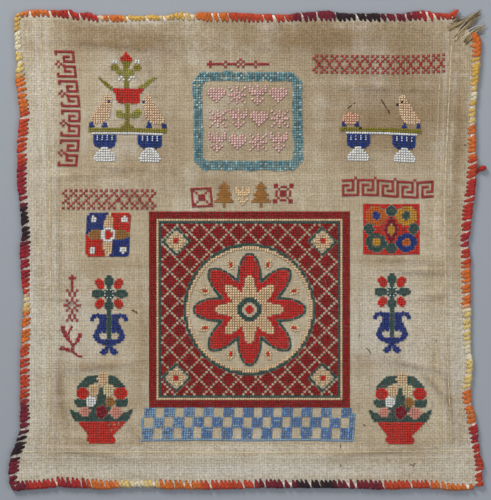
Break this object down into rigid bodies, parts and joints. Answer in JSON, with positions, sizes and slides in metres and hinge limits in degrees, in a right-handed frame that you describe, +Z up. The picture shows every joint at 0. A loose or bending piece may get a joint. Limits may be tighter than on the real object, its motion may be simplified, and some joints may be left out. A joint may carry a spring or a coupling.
{
  "type": "cross stitch sampler",
  "caption": "Square linen sampler lying flat and face up, with a thick overcast wool edge, a frayed corner and a short loose yarn end.",
  "frame": {"origin": "on the surface the sampler lies on, under the middle of its outline", "axes": "+Z up out of the worked face, +Y towards the top edge of the design, +X towards its right edge"},
  "size_m": [0.4769, 0.4805, 0.0048],
  "materials": {
    "linen_canvas": "matt natural linen canvas, worked with wool cross stitch",
    "edging_wool": "matt wool yarn, dyed from yellow through orange and red to near black",
    "linen_threads": "matt loose linen threads",
    "embroidery_wool": "matt crewel wool in many colours, worked in cross stitch"
  },
  "bodies": {
    "root": {"cloth": "linen_canvas", "edging_top": "edging_wool", "edging_right": "edging_wool", "edging_bottom": "edging_wool", "edging_left": "edging_wool", "yarn_end": "edging_wool", "frayed_corner": "linen_threads"}
  },
  "joints": []
}
